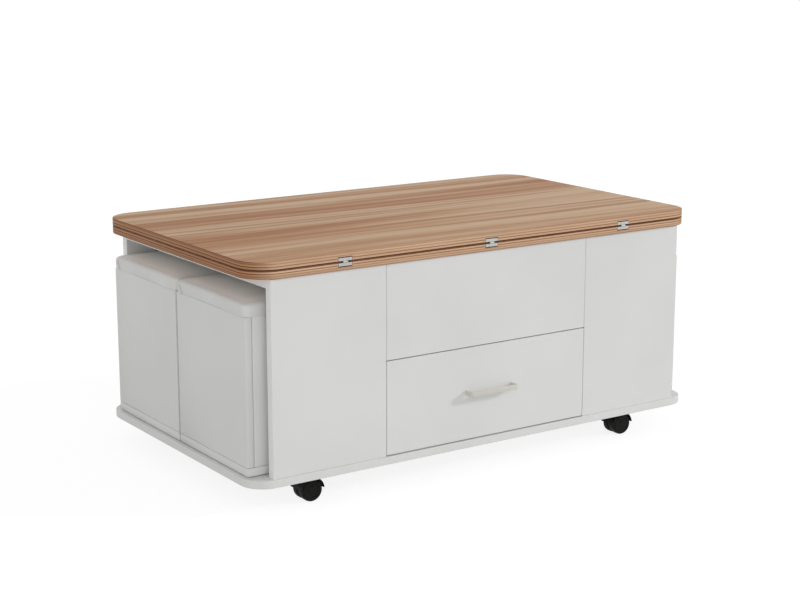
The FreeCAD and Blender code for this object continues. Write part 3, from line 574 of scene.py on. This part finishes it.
def makeEdging():  # thin strips on the inner edges of the two side panels
    bm = bmesh.new()
    for side, node in ((1, "front_panel_left"), (-1, "front_panel_right")):
        low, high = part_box(node)
        edge = high.x if side > 0 else low.x
        front = low.y + panelEdging["inset"]
        for beside, width in panelEdging["widths"].items():
            besideLow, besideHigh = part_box(beside)
            near, far = sorted((edge, edge + side * width))
            corner = Vector((near, front, besideLow.z))
            opposite = Vector((far, front + panelEdging["depth"], besideHigh.z))
            addBoard(bm, corner, opposite, panelEdging["edgeRound"])
    addPiece("panelEdging", bm, "cabinet", [white])


makeEdging()
print("panels edged")

cushionForm = {
    "voxel": 0.004,
    "start": (0.998, 0.998, 0.95),  # the pad starts smaller and swells
    "pressure": 4.0,
    "stiffness": 40,
    "bending": 2,
    "frames": 20,
    "kept": 0.08,          # share of the swelling that is kept
    "pinned": 0.004,       # height above the seat board that stays put
    "soften": 0.5,
    "roundOut": 0.3,
    "hem": 0.008,          # the lowest part of the sides is drawn down to the box
    "hemDraw": 6,          # how sharply
    "hemGap": 0.0003,
    "padFill": 0.85,
}
tuckForm = {
    "foot": (0.032, 0.000),  # from the corner, and above the box
    "head": (0.022, 0.019),
    "depth": 0.0050,
    "width": 0.0018,
    "reach": 0.008,        # nothing further from the tuck's line moves
    "outward": 0.3,        # nor anything that faces away from the side
    "cuts": 2,             # finer mesh round the tuck
    "headDepth": 0.3,      # share of the depth left at the head
    "headShade": 0.6,
}


def swellCushion(node):  # one pad, standing on the origin
    spec = cushionForm
    low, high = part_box(node)
    middle = Vector(((low.x + high.x) / 2, (low.y + high.y) / 2, low.z))
    pad = bpy.data.objects.new("padTrial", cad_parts[node].data.copy())
    scene.collection.objects.link(pad)
    bm = bmesh.new()
    bm.from_mesh(pad.data)
    bmesh.ops.remove_doubles(bm, verts=bm.verts, dist=nearly)
    bmesh.ops.translate(bm, vec=-middle, verts=bm.verts)
    bmesh.ops.scale(bm, vec=spec["start"], verts=bm.verts)
    bm.to_mesh(pad.data)
    bm.free()
    remesh = pad.modifiers.new("remesh", "REMESH")
    remesh.mode = "VOXEL"
    remesh.voxel_size = spec["voxel"]
    shaped = bpy.data.meshes.new_from_object(pad.evaluated_get(bpy.context.evaluated_depsgraph_get()))
    pad.modifiers.clear()
    pad.data = shaped
    held = pad.vertex_groups.new(name="held")
    held.add([v.index for v in shaped.vertices if v.co.z < spec["pinned"]], 1.0, "REPLACE")
    cloth = pad.modifiers.new("swell", "CLOTH")
    cloth.settings.use_pressure = True
    cloth.settings.uniform_pressure_force = spec["pressure"]
    cloth.settings.effector_weights.gravity = 0
    cloth.settings.vertex_group_mass = "held"
    cloth.settings.tension_stiffness = spec["stiffness"]
    cloth.settings.compression_stiffness = spec["stiffness"]
    cloth.settings.bending_stiffness = spec["bending"]
    cloth.point_cache.frame_end = spec["frames"]
    for step in range(1, spec["frames"] + 1):
        scene.frame_set(step)
    swollen = bpy.data.meshes.new_from_object(pad.evaluated_get(bpy.context.evaluated_depsgraph_get()))
    for before, after in zip(shaped.vertices, swollen.vertices):
        after.co = before.co.lerp(after.co, spec["kept"])
    scene.frame_set(1)
    shaped = swollen
    bpy.data.objects.remove(pad)
    return shaped, high - low


def pressTuck(bm, facing, halfSide, shade):  # one short slanting tuck beside a corner
    spec = tuckForm
    along = Vector((facing.y, -facing.x, 0))
    spots = (spec["foot"], spec["head"])
    foot, head = [along * (halfSide - inset) + Vector((0, 0, height)) for inset, height in spots]
    run = head - foot

    def place(spot):  # how far up the tuck, and how far from its line
        flat = spot - facing * spot.dot(facing)
        share = max(0.0, min(1.0, (flat - foot).dot(run) / run.length_squared))
        return share, (flat - foot - run * share).length

    def beside(vert):
        return vert.normal.dot(facing) > spec["outward"] and place(vert.co)[1] < spec["reach"]

    bm.normal_update()
    near = {vert for vert in bm.verts if beside(vert)}
    edges = [edge for edge in bm.edges if near.issuperset(edge.verts)]
    bmesh.ops.subdivide_edges(bm, edges=edges, cuts=spec["cuts"], use_grid_fill=True)
    bm.normal_update()
    for vert in [vert for vert in bm.verts if beside(vert)]:
        share, apart = place(vert.co)
        fall = math.exp(-(apart / spec["width"]) ** 2)
        vert.co -= facing * spec["depth"] * fall * (1 - (1 - spec["headDepth"]) * share)
        vert[shade] = fall * (1 - (1 - spec["headShade"]) * share)


def makeCushions():
    spec = cushionForm
    shaped, reach = swellCushion(f"{stools[0]}_cushion")
    for stool in stools:
        node = f"{stool}_cushion"
        low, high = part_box(node)
        bm = bmesh.new()
        bm.from_mesh(shaped)
        bmesh.ops.smooth_vert(
            bm, verts=bm.verts, factor=spec["soften"], use_axis_x=True, use_axis_y=True, use_axis_z=True,
        )
        bmesh.ops.subdivide_edges(bm, edges=bm.edges, cuts=1, use_grid_fill=True, smooth=spec["roundOut"])
        for vert in bm.verts:
            if vert.co.z < spec["hem"]:
                vert.co.z = max(spec["hemGap"], spec["hem"] * (vert.co.z / spec["hem"]) ** spec["hemDraw"])
        shade = bm.verts.layers.float.new("fold")
        for facing in (Vector((-1, 0, 0)), Vector((1, 0, 0))):
            pressTuck(bm, facing, reach.y / 2, shade)
        bmesh.ops.translate(bm, vec=((low.x + high.x) / 2, (low.y + high.y) / 2, low.z), verts=bm.verts)
        pad = addPiece(f"{stool}_pad", bm, stool, [cover], [node], sharpAngle=60)


makeCushions()
print("cushions filled")

wheelForm = {
    "radius": 0.025,
    "width": 0.017,
    "innerRound": 0.002,
    "outerRound": 0.006,
    "roundSteps": 6,
    "bead": 0.0165,        # where the side face steps in
    "beadDepth": 0.0012,
    "beadSlope": 0.001,
    "hub": 0.0085,
    "axle": 0.003,
    "axleInset": 0.0002,
    "axleSteps": 28,
    "steps": 56,
}


def makeWheels(caster):
    spec = wheelForm
    node = f"{caster}_wheels"
    low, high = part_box(node)
    middle = (low + high) / 2
    far = (high.y - low.y) / 2
    near = far - spec["width"]
    sunk = far - spec["beadDepth"]
    radius, inner, outer = spec["radius"], spec["innerRound"], spec["outerRound"]
    profile = [(spec["axle"], near)]  # from the axle, and along it
    turns = [math.pi / 2 * step / spec["roundSteps"] for step in range(spec["roundSteps"] + 1)]
    for turn in turns:
        profile.append((radius - inner + inner * math.sin(turn), near + inner - inner * math.cos(turn)))
    for turn in turns:
        profile.append((radius - outer + outer * math.cos(turn), far - outer + outer * math.sin(turn)))
    profile += [
        (spec["bead"], far), (spec["bead"] - spec["beadSlope"], sunk),
        (spec["hub"] + spec["beadSlope"], sunk), (spec["hub"], far), (spec["axle"], far),
    ]
    bm = bmesh.new()
    for side in (-1, 1):
        verts = [bm.verts.new((middle.x + away, middle.y + side * y, middle.z)) for away, y in profile]
        edges = [bm.edges.new(pair) for pair in zip(verts, verts[1:] + verts[:1])]
        bmesh.ops.spin(
            bm, geom=verts + edges, cent=middle, axis=(0, 1, 0), angle=2 * math.pi, steps=spec["steps"],
            use_merge=True,
        )
    axle = bmesh.ops.create_cone(
        bm, cap_ends=True, segments=spec["axleSteps"], radius1=spec["axle"], radius2=spec["axle"],
        depth=2 * (far - spec["axleInset"]),
    )["verts"]
    bmesh.ops.rotate(bm, verts=axle, cent=(0, 0, 0), matrix=Matrix.Rotation(math.pi / 2, 3, "X"))
    bmesh.ops.translate(bm, verts=axle, vec=middle)
    body = f"{caster}_wheel_body"
    addPiece(f"{caster}_treads", bm, body, [treadPlastic], [node], sharpAngle=40)


for caster in casters:
    makeWheels(caster)
print("wheels turned")

handleForm = {
    "thickness": 0.004,
    "outerBend": 0.0052,
    "bendSteps": 8,
    "edgeRound": 0.0007,
}


def makeHandle():
    spec = handleForm
    low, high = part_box("drawer_handle")
    thick = spec["thickness"]
    left, right, back = low.x + thick, high.x - thick, low.y + thick
    corners = [
        (low.x, low.y), (high.x, low.y), (high.x, high.y), (right, high.y),
        (right, back), (left, back), (left, high.y), (low.x, high.y),
    ]
    bm = bmesh.new()
    bm.faces.new([bm.verts.new((x, y, low.z)) for x, y in corners])
    made = bmesh.ops.extrude_face_region(bm, geom=bm.faces[:], use_keep_orig=True)
    bmesh.ops.translate(bm, vec=(0, 0, high.z - low.z), verts=newVerts(made))
    bmesh.ops.recalc_face_normals(bm, faces=bm.faces)

    def level(edge):
        return abs(edge.verts[0].co.z - edge.verts[1].co.z) < nearly

    for depth, radius in ((low.y, spec["outerBend"]), (back, spec["outerBend"] - thick)):
        bends = [edge for edge in bm.edges if not level(edge) and abs(edge.verts[0].co.y - depth) < nearly]
        bmesh.ops.bevel(
            bm, geom=bends, offset=radius, affect="EDGES", segments=spec["bendSteps"], profile=0.5,
            material=-1,
        )
    rims = [  # the sharp level edges, apart from those on the drawer
        edge for edge in bm.edges
        if level(edge) and edge.calc_face_angle(0) > 1 and max(v.co.y for v in edge.verts) < high.y - nearly
    ]
    bmesh.ops.bevel(
        bm, geom=rims, offset=spec["edgeRound"], affect="EDGES", segments=2, profile=0.5, material=-1,
    )
    addPiece("bowHandle", bm, "drawer", [handleCoat], ["drawer_handle"], sharpAngle=35)


makeHandle()
print("handle bent")

hingeScrew = {
    "radius": 0.0019,
    "crown": 0.82,         # share of the radius at the top of the head
    "proud": 0.00025,      # low enough to pass the other plate's screws when the leaf lies open
    "socket": 0.0009,
    "socketDepth": 0.0002,
    "socketSlope": 0.0001,
    "steps": 20,
    "spread": 0.011,       # from the hinge's middle
    "inset": 0.0033,       # from the plate's long edge
    "plate": 0.002,        # thickness of the hinge plates
}


def addScrew(bm, spot):
    spec = hingeScrew
    others = set(bm.verts)
    head = bmesh.ops.create_circle(bm, cap_ends=True, segments=spec["steps"], radius=spec["radius"])
    made = bmesh.ops.extrude_face_region(bm, geom=head["verts"][0].link_faces[:], use_keep_orig=True)
    bmesh.ops.translate(bm, vec=(0, 0, spec["proud"]), verts=newVerts(made))
    bmesh.ops.scale(bm, vec=(spec["crown"], spec["crown"], 1), verts=newVerts(made))
    cap = [face for face in made["geom"] if isinstance(face, bmesh.types.BMFace)]
    bmesh.ops.inset_region(bm, faces=cap, thickness=spec["radius"] * spec["crown"] - spec["socket"], depth=0)
    bmesh.ops.inset_region(bm, faces=cap, thickness=spec["socketSlope"], depth=-spec["socketDepth"])
    screw = [vert for vert in bm.verts if vert not in others]
    bmesh.ops.rotate(bm, verts=screw, cent=(0, 0, 0), matrix=Matrix.Rotation(math.pi / 2, 3, "X"))
    bmesh.ops.translate(bm, vec=spot, verts=screw)


def makeHingeScrews(name, node, body, upper):
    spec = hingeScrew
    low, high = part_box(node)
    halfHinge = leafEdge["hingeWidth"] / 2
    plateFront = high.y - spec["plate"]
    z = high.z - spec["inset"] if upper else low.z + spec["inset"]
    bm = bmesh.new()
    for middle in (low.x + halfHinge, 0, high.x - halfHinge):
        for side in (-1, 1):
            addScrew(bm, (middle + side * spec["spread"], plateFront, z))
    addPiece(name, bm, body, [zinc], sharpAngle=30)


makeHingeScrews("upperHingeScrews", "fold_hinge_upper", "folding_leaf", upper=True)
makeHingeScrews("lowerHingeScrews", "fold_hinge_lower", "table", upper=False)
print("hinge screws set")


# studio

def seenRays(look):  # camera, mirror and glass rays
    def ray(name):
        return look.node("ShaderNodeLightPath", output=name)
    return ray("Is Camera Ray") + ray("Is Glossy Ray") + ray("Is Transmission Ray")


floorLook = {"span": 40, "grey": (0.24, 0.24, 0.24, 1), "glow": 0.85, "bounce": (0.8, 0.8, 0.8, 1)}


def makeFloor():
    bm = bmesh.new()
    bmesh.ops.create_grid(bm, x_segments=1, y_segments=1, size=floorLook["span"])
    mesh = bpy.data.meshes.new("floor")
    bm.to_mesh(mesh)
    bm.free()
    floor = bpy.data.objects.new("floor", mesh)
    scene.collection.objects.link(floor)
    look = Finish("floorPaint", {})
    look.tree.nodes.remove(look.shader)
    shown = look.node("ShaderNodeBsdfDiffuse", inputs={"Color": floorLook["grey"]})
    glow = look.node("ShaderNodeEmission", inputs={"Strength": floorLook["glow"]})
    shown = look.node("ShaderNodeAddShader", inputs={0: shown, 1: glow})
    bounce = look.node("ShaderNodeBsdfDiffuse", inputs={"Color": floorLook["bounce"]})
    whole = look.node("ShaderNodeMixShader", inputs={0: seenRays(look), 1: bounce, 2: shown})
    out = look.tree.nodes["Material Output"]
    look.tree.links.new(whole.socket, out.inputs["Surface"])
    mesh.materials.append(look.material)


makeFloor()

skyLook = {"shade": 0.54, "shown": 1}  # its light on the table, and its own brightness


def makeSky():
    sky = bpy.data.worlds.new("studio")
    sky.use_nodes = True
    scene.world = sky
    look = Wiring(sky.node_tree)
    back = sky.node_tree.nodes["Background"]
    back.inputs["Color"].default_value = (1, 1, 1, 1)
    strength = look.spread(seenRays(look), 0, 1, skyLook["shade"], skyLook["shown"])
    sky.node_tree.links.new(strength.socket, back.inputs["Strength"])


makeSky()

lamps = {
    "keyLamp": {"from": (0.80, -0.47, 0.37), "strength": 0.94, "spread": 9},   # spread in degrees
    "fillLamp": {"from": (-0.50, -0.83, 0.20), "strength": 0.72, "spread": 60},
}


def hangLamp(name, spec):
    data = bpy.data.lights.new(name, "SUN")
    data.energy = spec["strength"]
    data.angle = math.radians(spec["spread"])
    lamp = bpy.data.objects.new(name, data)
    lamp.rotation_euler = Vector(spec["from"]).to_track_quat("Z", "Y").to_euler()
    scene.collection.objects.link(lamp)


for name, spec in lamps.items():
    hangLamp(name, spec)

cameraPlace = {
    "spot": (-2.20748, -3.2597, 1.20719),
    "turn": 34.058,        # degrees from straight at the drawer side towards the right end
    "tilt": 12.664,        # degrees down
    "lens": 76.902,
}


def setCamera():
    data = bpy.data.cameras.new("camera")
    data.lens = cameraPlace["lens"]
    camera = bpy.data.objects.new("camera", data)
    camera.location = cameraPlace["spot"]
    camera.rotation_euler = (math.radians(90 - cameraPlace["tilt"]), 0, -math.radians(cameraPlace["turn"]))
    scene.collection.objects.link(camera)
    scene.camera = camera


setCamera()
print("studio lit")
